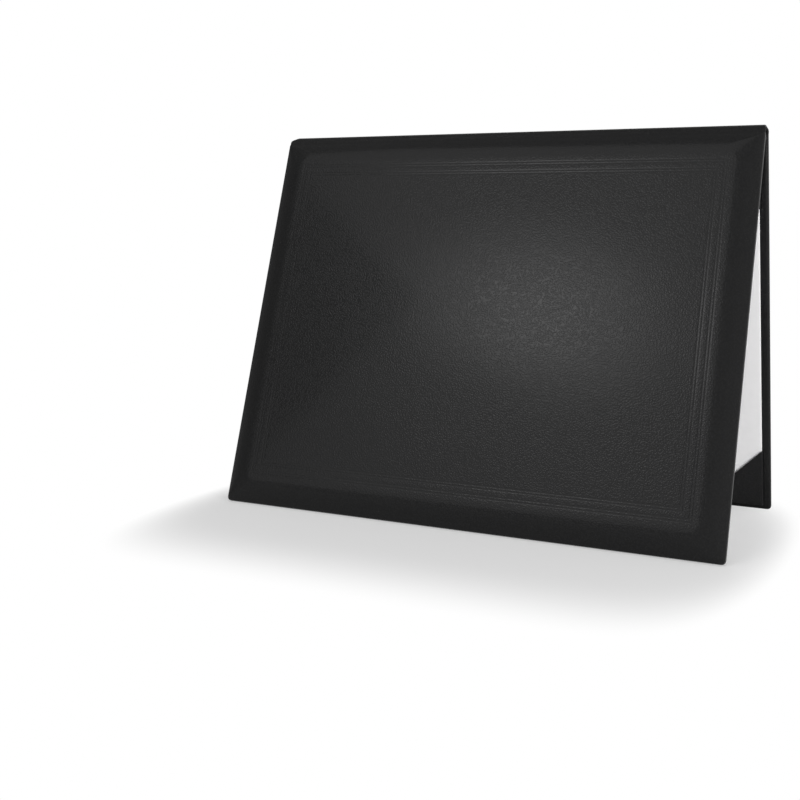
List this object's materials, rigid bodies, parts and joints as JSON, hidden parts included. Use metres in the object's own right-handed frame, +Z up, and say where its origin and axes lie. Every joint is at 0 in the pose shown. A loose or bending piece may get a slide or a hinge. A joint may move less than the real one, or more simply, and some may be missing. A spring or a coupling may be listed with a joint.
{
  "type": "diploma cover",
  "caption": "Landscape padded diploma cover standing as a tent, in black leatherette with a pressed rule border, white linings and triangular corner pockets for a certificate.",
  "frame": {"origin": "on the floor under the middle of the standing cover", "axes": "+X along the spine, -Y towards the padded front cover, +Z up"},
  "size_m": [0.2922, 0.144, 0.2196],
  "materials": {
    "leatherette": "satin",
    "hinge_cloth": "matte",
    "greyboard": "matte",
    "foam": "matte",
    "liner_card": "matte",
    "liner_paper": "satin"
  },
  "bodies": {
    "back_cover": {"back_skin": "leatherette", "back_board": "greyboard", "back_hinge_flap": "hinge_cloth", "back_liner_card": "liner_card", "back_liner_paper": "liner_paper", "pocket_lower_left": "leatherette", "pocket_lower_right": "leatherette", "pocket_upper_left": "leatherette", "pocket_upper_right": "leatherette"},
    "spine": {"spine_skin": "leatherette", "hinge_strip": "hinge_cloth"},
    "front_cover": {"front_skin": "leatherette", "front_foam_pad": "foam", "front_board": "greyboard", "front_hinge_flap": "hinge_cloth", "front_liner_card": "liner_card", "front_liner_paper": "liner_paper"}
  },
  "joints": [
    {"name": "back_crease", "type": "hinge", "parent": "back_cover", "child": "spine", "pos_m": [0, 0.0064, 0.21599], "axis": [-1, 0, 0], "range_deg": [-17, 73]},
    {"name": "front_crease", "type": "hinge", "parent": "spine", "child": "front_cover", "pos_m": [0, -0.0056, 0.21599], "axis": [-1, 0, 0], "range_deg": [-17, 73]}
  ],
  "couplings": [
    {"joint": "front_crease", "follows": "back_crease", "ratio": 1}
  ]
}
